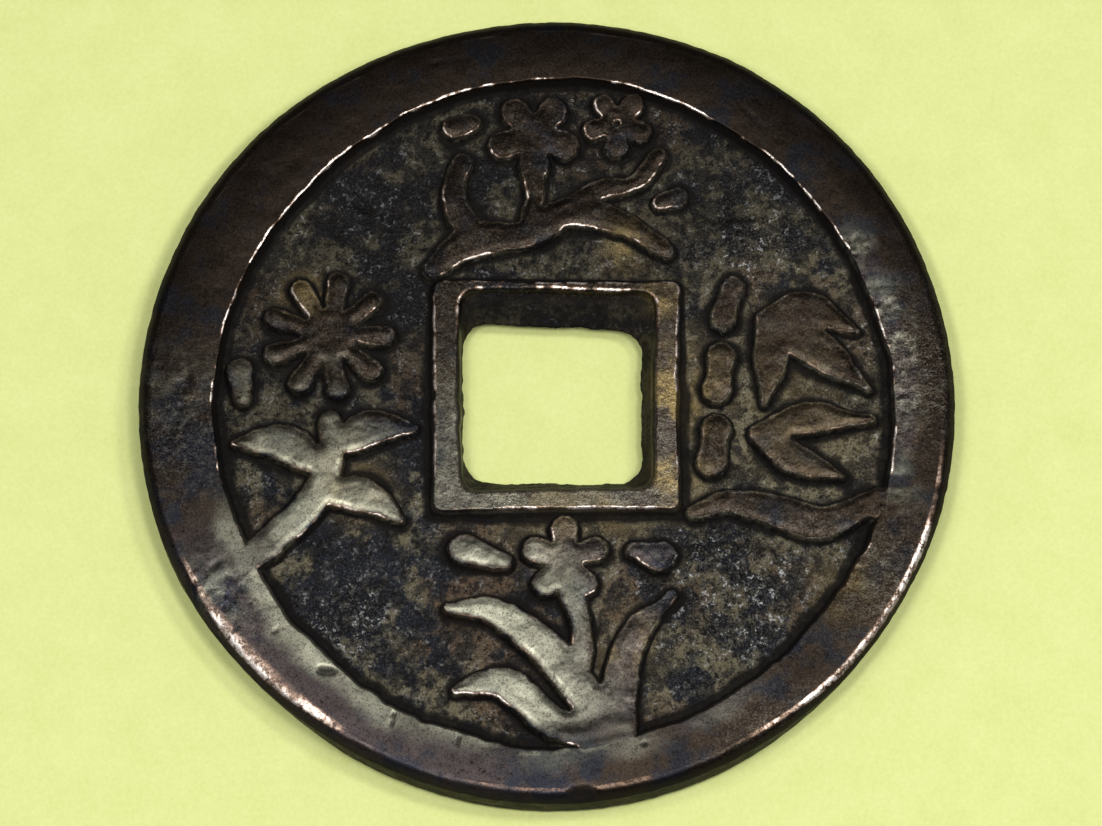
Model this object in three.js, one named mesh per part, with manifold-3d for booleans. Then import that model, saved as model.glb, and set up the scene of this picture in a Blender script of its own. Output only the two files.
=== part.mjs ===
// A cast bronze cash coin, in millimetres, lying on its reverse with +Z up.
// The origin is on the table, under the centre of the coin's outline.
// The coin is a thin web, the flan, with a square hole. Each face carries an outer rim and
// a square inner rim, and the obverse also carries four plant sprigs in low relief.
// All raised features sit face to face on the flan, as they rise from it in the casting.
import * as THREE from "three";
import Module from "manifold-3d";
import { mergeVertices } from "three/addons/utils/BufferGeometryUtils.js";

const wasm = await Module();
wasm.setup();

// Driving sizes of the casting
const coinRadius = 12.0;
const coinThickness = 1.6;
const obverseRelief = 0.42; // height of the rims above the obverse field
const reverseRelief = 0.32;
const sprigRelief = 0.36; // a little under the rims, which take the wear
const outOfRound = 0.05; // how far the cast outline strays from a circle
const edgeRounding = 0.38; // worn round-over of the rim's outer edge
const rimDraft = 0.12; // slope of the rim's inner wall, which lets the mould lift
const rimBreak = 0.07; // worn break of the rim's inner edge

// The outer rim is broader at the sides, and the field inside it a little off centre
const rimWidthAtSides = 2.05;
const rimWidthAtTop = 1.8;
const fieldCentre = new THREE.Vector2(0.12, -0.25);
const fieldWaviness = 0.06;
const reverseRimGrowth = 0.35; // the reverse rim is broader all round

// The square hole narrows from each face to a throat inside the flan
const throatWidth = 5.25;
const throatHeight = 4.95;
const throatCornerRadius = 0.8;
const throatCentre = new THREE.Vector2(0.14, 0.24);
const throatLevel = 0.7; // height above the table
const throatDrop = 0.2; // how far its upper edge sinks to the right, as it was never filed
const lipWidth = 5.7;
const lipHeight = 6.05;
const lipCentre = new THREE.Vector2(0.33, 0.38);
const lipCornerRadius = 0.5;
const reverseLipFlare = 0.26; // how far each side of the hole opens at the reverse

// The inner rim is a square collar round the hole
const collarWidth = 7.2;
const collarHeight = 7.0;
const collarCentre = new THREE.Vector2(0.28, 0.23);
const collarCornerRadius = 0.28;
const collarDraft = 0.09;
const reverseCollarGrowth = 0.3; // the reverse collar is broader on each side

// Relief strokes
const strokeDraft = 0.06;
const strokeBreak = 0.11; // worn rounding of a stroke's top edge
const strokeBreakShare = 0.3; // of the relief's height
const tipShare = 0.22; // of a stroke's width, the least half width left at its worn top
const panelSteps = 10; // units that a sprig's panel is drawn in, from the inner rim to the outer

const ringSteps = 96;
const roundingSteps = 3;
const cornerSteps = 5;
const capSteps = 5;
const strokeStepsPerPoint = 4;

const flanBottom = reverseRelief;
const flanTop = coinThickness - obverseRelief;
const fieldHalfWidth = coinRadius - rimWidthAtSides;
const fieldHalfHeight = coinRadius - rimWidthAtTop;

// Colours of worn, patinated bronze
const fieldBronze = new THREE.MeshStandardMaterial({ color: 0x3e3a30, roughness: 0.65, metalness: 0.7 });
const rimBronze = new THREE.MeshStandardMaterial({ color: 0x54463e, roughness: 0.45, metalness: 0.85 });
const reliefBronze = new THREE.MeshStandardMaterial({ color: 0x6b5f50, roughness: 0.42, metalness: 0.85 });

// Outline of the whole coin, drawn in by inset. It is a little three-cornered, as hand-filed coins are.
function coinOutline(inset) {
  const points = [];
  for (let i = 0; i < ringSteps; i++) {
    const turn = (2 * Math.PI * i) / ringSteps;
    const radius = coinRadius - inset + outOfRound * (Math.cos(3 * turn - 2.35) + 0.5 * Math.cos(5 * turn + 0.8));
    points.push(new THREE.Vector2(radius * Math.cos(turn), radius * Math.sin(turn)));
  }
  return points;
}

// Outline of the sunk field, grown by inset towards the coin's edge.
function fieldOutline(growth) {
  const points = [];
  for (let i = 0; i < ringSteps; i++) {
    const turn = (2 * Math.PI * i) / ringSteps;
    const wave = fieldWaviness * Math.cos(4 * turn + 0.4);
    points.push(
      new THREE.Vector2(
        fieldCentre.x + (fieldHalfWidth + growth + wave) * Math.cos(turn),
        fieldCentre.y + (fieldHalfHeight + growth + wave) * Math.sin(turn),
      ),
    );
  }
  return points;
}

// A rectangle with rounded corners, counter-clockwise.
function roundedRectangle(centre, width, height, radius) {
  const points = [];
  const corners = [
    [1, 1, 0],
    [-1, 1, 0.5],
    [-1, -1, 1],
    [1, -1, 1.5],
  ];
  for (const [sideX, sideY, start] of corners) {
    for (let i = 0; i <= cornerSteps; i++) {
      const turn = Math.PI * (start + (0.5 * i) / cornerSteps);
      points.push(
        new THREE.Vector2(
          centre.x + sideX * (width / 2 - radius) + radius * Math.cos(turn),
          centre.y + sideY * (height / 2 - radius) + radius * Math.sin(turn),
        ),
      );
    }
  }
  return points;
}

// The walls between successive loops. A loop is { outline, z }, and all loops have as many points.
function wallTriangles(loops, closed) {
  const count = loops[0].outline.length;
  const index = [];
  const last = closed ? loops.length : loops.length - 1;
  for (let row = 0; row < last; row++) {
    const next = (row + 1) % loops.length;
    for (let i = 0; i < count; i++) {
      const j = (i + 1) % count;
      index.push(row * count + i, row * count + j, next * count + j);
      index.push(row * count + i, next * count + j, next * count + i);
    }
  }
  return index;
}

function loopGeometry(loops, index) {
  const position = loops.flatMap(({ outline, z }) => outline.flatMap((p) => [p.x, p.y, z]));
  const geometry = new THREE.BufferGeometry();
  geometry.setAttribute("position", new THREE.Float32BufferAttribute(position, 3));
  geometry.setIndex(index);
  return geometry;
}

// A closed ring whose section runs through all loops: up the outside and down the inside.
function loftRing(loops) {
  return loopGeometry(loops, wallTriangles(loops, true));
}

// A solid stack of loops, from the lowest to the highest, closed by a flat face at each end.
function loftStack(loops) {
  const index = wallTriangles(loops, false);
  const top = (loops.length - 1) * loops[0].outline.length;
  for (const [a, b, c] of THREE.ShapeUtils.triangulateShape(loops[0].outline, [])) index.push(a, c, b);
  for (const [a, b, c] of THREE.ShapeUtils.triangulateShape(loops.at(-1).outline, [])) {
    index.push(top + a, top + b, top + c);
  }
  return loopGeometry(loops, index);
}

function solidOf(geometry) {
  const bare = new THREE.BufferGeometry();
  bare.setAttribute("position", geometry.getAttribute("position"));
  bare.setIndex(geometry.getIndex());
  const merged = mergeVertices(bare, 1e-4);
  return new wasm.Manifold(
    new wasm.Mesh({
      numProp: 3,
      vertProperties: merged.getAttribute("position").array,
      triVerts: new Uint32Array(merged.getIndex().array),
    }),
  );
}

function geometryOf(solid) {
  const mesh = solid.getMesh();
  const geometry = new THREE.BufferGeometry();
  geometry.setAttribute("position", new THREE.BufferAttribute(mesh.vertProperties, 3));
  geometry.setIndex(new THREE.BufferAttribute(mesh.triVerts, 1));
  geometry.computeVertexNormals();
  return geometry;
}

// The space of the square hole: wide at both faces, narrow at the throat.
function holeSpace() {
  const beyond = 1;
  const lip = roundedRectangle(lipCentre, lipWidth, lipHeight, lipCornerRadius);
  const throat = roundedRectangle(throatCentre, throatWidth, throatHeight, throatCornerRadius);
  for (const point of throat) {
    const right = (point.x - throatCentre.x) / throatWidth + 0.5;
    if (point.y > throatCentre.y) point.y -= throatDrop * right;
  }
  const reverseLip = roundedRectangle(
    throatCentre,
    throatWidth + 2 * reverseLipFlare,
    throatHeight + 2 * reverseLipFlare,
    lipCornerRadius,
  );
  return solidOf(
    loftStack([
      { outline: reverseLip, z: -beyond },
      { outline: reverseLip, z: 0 },
      { outline: throat, z: throatLevel },
      { outline: lip, z: coinThickness },
      { outline: lip, z: coinThickness + beyond },
    ]),
  );
}

function flan(hole) {
  const disc = loftStack([
    { outline: coinOutline(0), z: flanBottom },
    { outline: coinOutline(0), z: flanTop },
  ]);
  return solidOf(disc).subtract(hole);
}

// The section of an outer rim, from the flan's face outwards. face is the level of the rim's flat.
function outerRim(seat, face, fieldGrowth) {
  const rise = face - seat;
  const loops = [{ outline: coinOutline(0), z: seat }];
  for (let i = 1; i <= roundingSteps; i++) {
    const turn = (0.5 * Math.PI * i) / roundingSteps;
    loops.push({
      outline: coinOutline(edgeRounding * (1 - Math.cos(turn))),
      z: seat + rise * Math.sin(turn),
    });
  }
  loops.push({ outline: fieldOutline(fieldGrowth + rimDraft + rimBreak), z: face });
  loops.push({ outline: fieldOutline(fieldGrowth + rimDraft), z: face - Math.sign(rise) * rimBreak });
  loops.push({ outline: fieldOutline(fieldGrowth), z: seat });
  if (rise < 0) loops.reverse();
  return solidOf(loftRing(loops));
}

// The square collar, with sloping sides and a worn top edge, cut by the hole.
function innerRim(seat, face, growth, hole) {
  const rise = face - seat;
  const level = (share, inset) => ({
    outline: roundedRectangle(
      collarCentre,
      collarWidth + 2 * (growth - inset),
      collarHeight + 2 * (growth - inset),
      collarCornerRadius,
    ),
    z: seat + share * rise,
  });
  const loops = [level(0, 0), level(1 - strokeBreakShare, collarDraft), level(1, collarDraft + rimBreak)];
  if (rise < 0) loops.reverse();
  return solidOf(loftStack(loops)).subtract(hole);
}

// One brush-like stroke along a smooth line, in relief on the obverse field.
// Each entry of line is [x, y, width], and the width swells and tapers as smoothly as the line runs.
function stroke(line) {
  const path = new THREE.CatmullRomCurve3(line.map((point) => new THREE.Vector3(...point)), false, "centripetal");
  const steps = strokeStepsPerPoint * (line.length - 1);
  const outlineAt = (inset) => {
    const left = [];
    const right = [];
    for (let i = 0; i <= steps; i++) {
      const share = i / steps;
      const at = path.getPoint(share);
      const along = path.getTangent(share);
      const half = Math.max(at.z / 2 - inset, at.z * tipShare);
      const heading = Math.atan2(along.y, along.x);
      const side = (turn) =>
        new THREE.Vector2(at.x + half * Math.cos(heading + turn), at.y + half * Math.sin(heading + turn));
      if (i === 0) {
        for (let k = 1; k < capSteps; k++) left.push(side(-Math.PI / 2 - (Math.PI * k) / capSteps));
      }
      left.push(side(Math.PI / 2));
      right.push(side(-Math.PI / 2));
      if (i === steps) {
        for (let k = 1; k < capSteps; k++) left.push(side(Math.PI / 2 - (Math.PI * k) / capSteps));
      }
    }
    return [...left, ...right.reverse()].reverse();
  };
  const shoulder = flanTop + sprigRelief * (1 - strokeBreakShare);
  return solidOf(
    loftStack([
      { outline: outlineAt(0), z: flanTop },
      { outline: outlineAt(strokeDraft), z: shoulder },
      { outline: outlineAt(strokeDraft + strokeBreak), z: flanTop + sprigRelief },
    ]),
  );
}

const dotTail = 0.05; // a dot is a stroke too short to see its length
const dot = (x, y, width) => [
  [x - dotTail, y, width],
  [x + dotTail, y, width],
];

// Petals set in a ring round a centre, each a short stroke that points outwards.
function petals(x, y, count, inner, outer, width, turned = 0) {
  return Array.from({ length: count }, (_, i) => {
    const turn = turned + (2 * Math.PI * i) / count;
    return [
      [x + inner * Math.cos(turn), y + inner * Math.sin(turn), width * 0.8],
      [x + outer * Math.cos(turn), y + outer * Math.sin(turn), width],
    ];
  });
}

// The panel on one side of the hole, between the inner rim and the outer.
function panel(towardsX, towardsY) {
  const inner = new THREE.Vector2(
    collarCentre.x + (towardsX * collarWidth) / 2,
    collarCentre.y + (towardsY * collarHeight) / 2,
  );
  const outer = new THREE.Vector2(
    towardsX ? fieldCentre.x + towardsX * fieldHalfWidth : inner.x,
    towardsY ? fieldCentre.y + towardsY * fieldHalfHeight : inner.y,
  );
  return { centre: inner.clone().lerp(outer, 0.5), unit: inner.distanceTo(outer) / panelSteps };
}

// The sprigs stand upright on their panels. Distances and widths are in panel units from the
// panel's centre, and each relief is a list of strokes that run into one another.
const plum = {
  panel: panel(0, 1),
  reliefs: {
    plum_branch: [
      [[-5.9, -4.3, 1.2], [-4.0, -2.9, 1.9], [-1.6, -2.6, 1.5], [0.5, -1.5, 1.7], [2.8, -1.9, 1.4], [5.2, -3.4, 0.9]],
      [[-3.8, -2.9, 1.5], [-4.9, -0.8, 1.3], [-4.5, 1.0, 1.1]],
      [[0.5, -1.6, 1.4], [1.9, -0.4, 1.2], [3.7, 0.0, 1.0], [4.8, 1.3, 1.1]],
      [[-1.6, -2.5, 1.2], [-1.1, -0.8, 1.0], [-1.1, 0.6, 1.2]],
      ...petals(-1.1, 2.35, 5, 0.6, 1.5, 1.65, -Math.PI / 2),
    ],
    plum_blossom: petals(2.85, 2.95, 5, 0.5, 1.15, 1.3, 0.9),
    plum_bud_left: [[[-4.0, 3.0, 1.0], [-4.9, 2.7, 1.3]]],
    plum_bud_right: [[[4.9, -1.0, 0.9], [5.7, -0.7, 1.2]]],
  },
};

const bamboo = {
  panel: panel(1, 0),
  reliefs: {
    bamboo_stalk_lower: [[[-3.5, -3.2, 1.6], [-3.4, -2.4, 1.3], [-3.3, -1.6, 1.65]]],
    bamboo_stalk_middle: [[[-3.25, 0.4, 1.65], [-3.15, 1.2, 1.3], [-3.05, 2.0, 1.6]]],
    bamboo_stalk_upper: [[[-2.95, 3.9, 1.5], [-2.7, 4.7, 1.2], [-2.5, 5.4, 1.3]]],
    bamboo_leaves_upper: [
      [[-1.1, 3.9, 0.8], [0.9, 4.4, 2.0], [3.4, 3.3, 0.5]],
      [[-1.1, 3.7, 0.8], [1.3, 2.5, 2.1], [3.9, 0.4, 0.5]],
      [[-1.1, 3.6, 0.8], [-0.7, 2.0, 1.8], [-1.0, -0.3, 0.5]],
    ],
    bamboo_leaves_lower: [
      [[-1.5, -1.7, 0.8], [0.9, -1.1, 1.8], [4.1, -1.1, 0.5]],
      [[-1.5, -1.8, 0.8], [0.3, -3.0, 1.8], [2.6, -3.9, 0.5]],
    ],
    bamboo_ground: [
      [[-4.4, -5.7, 0.9], [-2.8, -5.2, 1.3], [-0.6, -5.6, 1.8], [1.6, -6.2, 1.8], [3.6, -5.4, 1.4], [5.4, -4.6, 1.3]],
    ],
  },
};

const orchid = {
  panel: panel(0, -1),
  reliefs: {
    orchid_leaves: [
      [[2.7, -5.2, 1.9], [1.5, -3.3, 1.7], [-0.4, -0.8, 1.6], [-2.6, 0.8, 1.3], [-4.4, 0.9, 0.6]],
      [[2.5, -4.6, 1.6], [2.5, -2.4, 1.6], [3.1, -0.2, 1.3], [4.6, 1.4, 0.6]],
      [[2.1, -4.5, 1.5], [-0.2, -3.8, 1.5], [-2.2, -2.2, 1.5], [-4.1, -2.5, 0.6]],
      [[0.8, -2.2, 1.1], [1.0, 0.1, 1.0], [0.4, 2.0, 1.1]],
      ...petals(0.3, 3.0, 5, 0.45, 1.3, 1.25, 0.31),
    ],
    orchid_petal_left: [[[-2.2, 2.9, 0.9], [-3.8, 3.4, 1.5]]],
    orchid_bud: [[[3.1, 3.4, 0.9], [4.2, 3.1, 1.5]]],
  },
};

const chrysanthemum = {
  panel: panel(-1, 0),
  reliefs: {
    chrysanthemum_flower: [dot(0.2, 2.9, 2.8), ...petals(0.2, 2.9, 9, 1.3, 2.55, 1.15)],
    chrysanthemum_stem: [
      [[0.3, -1.1, 1.2], [0.4, -2.8, 1.4], [-0.4, -4.8, 1.6], [-3.5, -7.9, 1.5]],
      [[0.3, -2.5, 1.1], [2.1, -1.5, 1.9], [4.1, -1.5, 0.6]],
      [[0.2, -3.5, 1.1], [-1.7, -2.2, 2.0], [-4.0, -2.2, 0.6]],
      [[-0.2, -4.5, 1.1], [1.8, -4.6, 1.9], [3.5, -5.8, 0.6]],
    ],
    chrysanthemum_bud: [[[-3.6, 0.0, 1.0], [-3.8, 1.2, 1.5]]],
  },
};

function onPanel({ centre, unit }, line) {
  return line.map(([x, y, width]) => [centre.x + unit * x, centre.y + unit * y, unit * width]);
}

const coin = new THREE.Group();

function add(name, solid, material) {
  const mesh = new THREE.Mesh(geometryOf(solid), material);
  mesh.name = name;
  coin.add(mesh);
}

const hole = holeSpace();
const obverseOuterRim = outerRim(flanTop, coinThickness, 0);
const obverseInnerRim = innerRim(flanTop, coinThickness, 0, hole);
add("flan", flan(hole), fieldBronze);
add("obverse_outer_rim", obverseOuterRim, rimBronze);
add("obverse_inner_rim", obverseInnerRim, rimBronze);
add("reverse_outer_rim", outerRim(flanBottom, 0, -reverseRimGrowth), rimBronze);
add("reverse_inner_rim", innerRim(flanBottom, 0, reverseCollarGrowth, hole), rimBronze);

// Strokes that reach a rim end in its wall
const rims = wasm.Manifold.union([obverseOuterRim, obverseInnerRim]);
for (const sprig of [plum, bamboo, orchid, chrysanthemum]) {
  for (const [name, lines] of Object.entries(sprig.reliefs)) {
    const strokes = lines.map((line) => stroke(onPanel(sprig.panel, line)));
    add(name, wasm.Manifold.union(strokes).subtract(rims), reliefBronze);
  }
}

export default coin;
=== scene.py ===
"""A worn bronze cash coin on pale paper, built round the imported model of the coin."""

import math
from collections import Counter
from types import SimpleNamespace

import bpy
import numpy as np
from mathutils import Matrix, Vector

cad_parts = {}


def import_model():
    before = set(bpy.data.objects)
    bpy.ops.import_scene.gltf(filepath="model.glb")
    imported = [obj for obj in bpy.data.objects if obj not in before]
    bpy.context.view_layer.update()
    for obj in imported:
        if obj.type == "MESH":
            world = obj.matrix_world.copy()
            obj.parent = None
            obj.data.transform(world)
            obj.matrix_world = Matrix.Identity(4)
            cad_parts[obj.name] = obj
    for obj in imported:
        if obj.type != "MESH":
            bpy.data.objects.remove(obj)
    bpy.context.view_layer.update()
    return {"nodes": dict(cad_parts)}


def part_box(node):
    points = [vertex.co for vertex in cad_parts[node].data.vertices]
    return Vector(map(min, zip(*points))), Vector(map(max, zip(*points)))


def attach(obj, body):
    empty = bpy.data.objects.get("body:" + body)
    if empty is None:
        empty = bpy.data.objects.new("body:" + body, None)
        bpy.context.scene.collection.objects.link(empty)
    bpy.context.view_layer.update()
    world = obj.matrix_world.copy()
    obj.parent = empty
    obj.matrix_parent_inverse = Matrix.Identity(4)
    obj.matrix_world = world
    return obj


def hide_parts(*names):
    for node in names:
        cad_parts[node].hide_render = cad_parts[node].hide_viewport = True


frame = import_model()

MM = 0.001
BODY = "root"
nodes = frame["nodes"]
RIMS = ("obverse_outer_rim", "obverse_inner_rim", "reverse_outer_rim", "reverse_inner_rim")
SPRIGS = [name for name in nodes if name != "flan" and name not in RIMS]


def level(node, end):
    """Height in mm of a node's lowest (0) or highest (1) point."""
    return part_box(node)[end].z / MM


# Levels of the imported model, in mm
FACE = level("obverse_outer_rim", 1)
FIELD = level("flan", 1)
REVERSE_FIELD = level("flan", 0)
RIM_RISE = FACE - FIELD
SPRIG_RISE = level("plum_branch", 1) - FIELD

# The worn form, in mm
FOOT_REACH = 0.18  # how far a raised feature's foot runs out below the field
FOOT_DEPTH = 0.07
RIM_WALL = 0.16  # nominal width of the rims' sloping walls
WALL_CREST = RIM_WALL * 1.25  # where a wall reaches its full height
WALL_RUN = RIM_WALL * 1.6  # where the last row of a wall's mesh lies
FLAT_START = RIM_WALL * 1.7  # where the flat beyond a wall starts
EDGE_ROUNDING = 0.38  # how far the outer edge is worn round
EDGE_LEVEL = FIELD + 0.08  # where the outer edge is widest
EDGE_TAPER = 0.04  # how much narrower the edge is at its lower end
REVERSE_LIP_LEVEL = 0.06  # how high the hole's lower edge is worn
LIP_ROUNDING = 0.14
CROWN = 0.055  # how strongly the outer rim's top falls off to both sides
SPRIG_WALL = 0.10
SPRIG_BASE = FIELD - 0.25
UNDER_RIM = 0.6  # how far a stroke that meets the outer rim runs on below it
PIT_DEPTH = 0.045
WRINKLE_WIDTH = 0.2
WRINKLE_FADE = 25  # degrees over which a wrinkle's ends fade

# Arcs of the outer rim, in degrees: the middle, and how far from it the arc ends and is full
RIGHT_BEVEL = (325, 31, 8)
LEFT_BEVEL = (224, 21, 3)
# Over this arc a painted sheen runs along the rim's inner edge
SHEEN_ARC = (243, 48, 25)
# At the bottom, over this arc, a painted shade darkens the rim
SHADE_ARC = (272, 40, 15)

# Mesh densities
TURNS = 1000  # points in every ring
FOOT_ROWS = 4
FIELD_ROWS = 82
REVERSE_ROWS = 16
JOIN_ROWS = 20  # rows of the outer rim, from its foot, that a stroke can cover
SPRIG_CELL = 0.028  # mm


# Noise

TABLE = np.random.default_rng(14).random(4096)


def lattice(ix, iy, iz):
    """A random value from 0 to 1 at each whole-numbered place."""
    return TABLE[(ix * 73 + iy * 179 + iz * 283 + (ix * iy) % 101 * 7) % 4096]


def value_noise(x, y, z):
    """Smooth noise from -1 to 1 with features about one unit wide."""
    fx, fy, fz = np.floor(x), np.floor(y), np.floor(z)
    tx, ty, tz = (t * t * t * (t * (t * 6 - 15) + 10) for t in (x - fx, y - fy, z - fz))
    ix, iy, iz = fx.astype(np.int64), fy.astype(np.int64), fz.astype(np.int64)
    total = 0
    for dx in (0, 1):
        for dy in (0, 1):
            for dz in (0, 1):
                weight = (tx if dx else 1 - tx) * (ty if dy else 1 - ty) * (tz if dz else 1 - tz)
                total = total + weight * lattice(ix + dx, iy + dy, iz + dz)
    return total * 2 - 1


def fractal(x, y, size, octaves=3, seed=0, z=0.0):
    """Noise in octaves, from -1 to 1 or so, with its largest features size mm wide."""
    total, gain = 0, 1.0
    z = z + np.zeros_like(x)
    for k in range(octaves):
        scale = 2.03 ** k / size
        total = total + gain * value_noise(x * scale + seed, y * scale - seed, z * scale + seed + 9.1 * k)
        gain *= 0.5
    return total / (2 - 2 * gain)


def smooth(low, high, x):
    """Rises from 0 at low to 1 at high, or falls where low is the greater."""
    t = np.clip((x - low) / (high - low), 0, 1)
    return t * t * (3 - 2 * t)


def bell(distance, width):
    return np.exp(-((distance / width) ** 2))


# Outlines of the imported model

def seat_segments(node, z):
    """The outline of a node's flat face at height z, as rows of x0, y0, x1, y1 in mm."""
    mesh = nodes[node].data
    points = np.array([v.co for v in mesh.vertices]) / MM
    keys = [tuple(np.round(p, 3)) for p in points]
    flat = np.abs(points[:, 2] - z) < 1e-3
    edges = Counter()
    for polygon in mesh.polygons:
        corners = list(polygon.vertices)
        if all(flat[c] for c in corners):
            edges.update((keys[a][:2], keys[b][:2]) for a, b in zip(corners, corners[1:] + corners[:1]))
    loose = [(a, b) for (a, b), uses in edges.items() if a != b and uses > edges.get((b, a), 0)]
    return np.array([[*a, *b] for a, b in loose])


def throat_segments():
    """The narrowest outline of the hole, between the flan's two faces, and its middle."""
    points = np.array([v.co for v in nodes["flan"].data.vertices]) / MM
    inner = points[(points[:, 2] > REVERSE_FIELD + 1e-3) & (points[:, 2] < FIELD - 1e-3)]
    outline = np.unique(np.round(inner, 3), axis=0)
    middle = (outline.min(0) + outline.max(0)) / 2
    order = np.argsort(np.arctan2(outline[:, 1] - middle[1], outline[:, 0] - middle[0]))
    ring = outline[order, :2]
    return np.hstack([ring, np.roll(ring, -1, axis=0)]), middle


def signed_distance(points, segments):
    """Distance in mm from each point to an outline, positive inside it."""
    batch = 20000  # points at a time, to save memory
    a, d = segments[:, :2], segments[:, 2:] - segments[:, :2]
    length = np.maximum((d ** 2).sum(1), 1e-12)
    result = np.empty(len(points))
    for start in range(0, len(points), batch):
        part = points[start:start + batch]
        p = part[:, None, :] - a
        t = np.clip((p * d).sum(2) / length, 0, 1)
        gap = np.sqrt(((p - t[..., None] * d) ** 2).sum(2)).min(1)
        x, y = part[:, :1], part[:, 1:]
        spans = (segments[:, 1] > y) != (segments[:, 3] > y)
        with np.errstate(divide="ignore", invalid="ignore"):
            crossing = a[:, 0] + (y - a[:, 1]) * d[:, 0] / d[:, 1]
        inside = (spans & (x < crossing)).sum(1) % 2 == 1
        result[start:start + batch] = np.where(inside, gap, -gap)
    return result


# Rings round the middle of the hole, with a radius in mm for every turn

TURN = np.linspace(0, 2 * np.pi, TURNS, endpoint=False)
RIGHTWARDS, UPWARDS = np.cos(TURN), np.sin(TURN)
THROAT, throat_middle = throat_segments()
CENTRE, THROAT_LEVEL = throat_middle[:2], throat_middle[2]


def ray_radius(segments, farthest):
    """Distance from the centre to an outline at every turn, to its farthest or nearest crossing."""
    a = segments[:, :2] - CENTRE
    d = segments[:, 2:] - segments[:, :2]
    ux, uy = RIGHTWARDS[:, None], UPWARDS[:, None]
    cross = ux * d[:, 1] - uy * d[:, 0]
    cross = np.where(np.abs(cross) < 1e-12, 1e-12, cross)
    along = (a[:, 0] * d[:, 1] - a[:, 1] * d[:, 0]) / cross
    share = (a[:, 0] * uy - a[:, 1] * ux) / cross
    hit = (share >= -1e-6) & (share <= 1 + 1e-6) & (along > 0)
    if farthest:
        return np.where(hit, along, -1).max(1)
    return np.where(hit, along, 1e9).min(1)


def waver(size, seed):
    """Noise along a ring, for outlines that aren't true."""
    return fractal(10 * RIGHTWARDS, 10 * UPWARDS, size, seed=seed)


def shifted(right, up):
    """What moving a ring right and up by so many mm adds to its radii."""
    return right * RIGHTWARDS + up * UPWARDS


def arc(turn, middle, end, full):
    """How far a place lies within an arc of the coin, from 0 at the arc's end to 1 where it is full."""
    away = abs((np.degrees(turn) - middle + 180) % 360 - 180)
    return smooth(end, full, away)


# The metal has spread inwards from the outer rim and outwards from the collar by a tenth of a millimetre
# or two, and the edges wander a little, as in a sand casting.
FIELD_EDGE = ray_radius(seat_segments("obverse_outer_rim", FIELD), False)
R_FIELD = FIELD_EDGE - 0.19 + shifted(0.06, 0.07) + 0.07 * waver(1.1, 3) + 0.04 * waver(3.0, 5)
R_FIELD = R_FIELD + 0.075 * smooth(0.1, -0.6, UPWARDS) * waver(0.45, 7)
R_OUT = ray_radius(seat_segments("obverse_outer_rim", FIELD), True) + 0.03 * waver(2.4, 8) - 0.02
R_REVERSE = ray_radius(seat_segments("reverse_outer_rim", REVERSE_FIELD), False) + 0.05 * waver(1.4, 9)
R_COLLAR = ray_radius(seat_segments("obverse_inner_rim", FIELD), True) * 1.033 + shifted(-0.06, 0.03)
R_COLLAR = R_COLLAR + 0.04 * waver(1.8, 11) + 0.02 * waver(0.6, 12)
R_REVERSE_COLLAR = ray_radius(seat_segments("reverse_inner_rim", REVERSE_FIELD), True)
R_REVERSE_COLLAR = R_REVERSE_COLLAR + 0.03 * waver(2.2, 12)
R_LIP = ray_radius(seat_segments("obverse_inner_rim", FACE), False) + shifted(-0.09, 0.04)
R_LIP = R_LIP + 0.04 * waver(1.6, 17)
R_REVERSE_LIP = ray_radius(seat_segments("reverse_inner_rim", 0.0), False)
R_THROAT = ray_radius(THROAT, False) + 0.05 * waver(4.0, 13) + 0.045 * waver(1.0, 15) - 0.02


def reach_under_rim(segments):
    """Carries on below the outer rim the ends of an outline that meet its wall."""
    ends = segments.reshape(-1, 2) - CENTRE
    turn = np.arctan2(ends[:, 1], ends[:, 0])
    radius = np.hypot(ends[:, 0], ends[:, 1])
    wall = np.interp(turn, TURN, FIELD_EDGE, period=2 * np.pi)
    longer = np.where(radius > wall - 0.04, radius + UNDER_RIM, radius)
    return (CENTRE + ends * (longer / radius)[:, None]).reshape(-1, 4)


OUTLINES = {name: reach_under_rim(seat_segments(name, FIELD)) for name in SPRIGS}


# Soft spots of the surface, each as x, y and radius in mm, and a strength

MOUNDS = [  # the strength is a height in mm
    (5.2, -5.5, 1.36, 0.12), (6.5, -6.2, 0.88, 0.07), (4.2, -6.9, 0.96, 0.06), (5.7, 5.3, 1.2, 0.10),
    (-5.1, 6.0, 1.36, -0.09), (-5.6, -6.4, 1.12, 0.08), (-4.0, -7.9, 0.8, -0.06), (0.0, -9.2, 0.88, -0.05),
    (8.2, 3.0, 0.8, -0.05), (-8.3, 3.4, 0.72, -0.05), (-6.8, -5.2, 0.8, -0.06),
]
ROUGH = [
    (5.2, -5.6, 2.2, 1.0), (5.7, 5.1, 1.5, 0.7), (-5.6, -6.5, 1.3, 0.7), (7.9, -3.8, 1.0, 0.6),
    (10.6, 1.0, 2.4, 0.9), (9.9, -5.2, 2.0, 0.7), (-10.8, -0.6, 2.2, 0.6), (-9.4, -6.4, 1.8, 0.5),
    (6.5, -10.0, 1.6, 0.5),
]
BLUE = [
    (5.2, -6.0, 2.2, 0.5), (-5.4, -5.8, 2.2, 0.9), (-5.1, 6.0, 1.5, 1.0), (6.2, 6.1, 2.0, 0.3),
    (-4.0, 3.2, 0.9, 0.8), (-4.2, -1.2, 1.2, 0.8), (8.5, 0.6, 1.0, 0.6), (-2.4, 7.2, 1.1, 0.6),
    (-10.8, -1.1, 1.4, 0.9), (-9.9, -5.4, 1.1, 0.8), (4.4, -11.1, 1.2, 0.5), (0.6, -11.0, 1.6, 0.7),
    (1.0, -6.2, 1.2, 0.4), (-11.0, 2.6, 1.2, 0.5),
]
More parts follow.
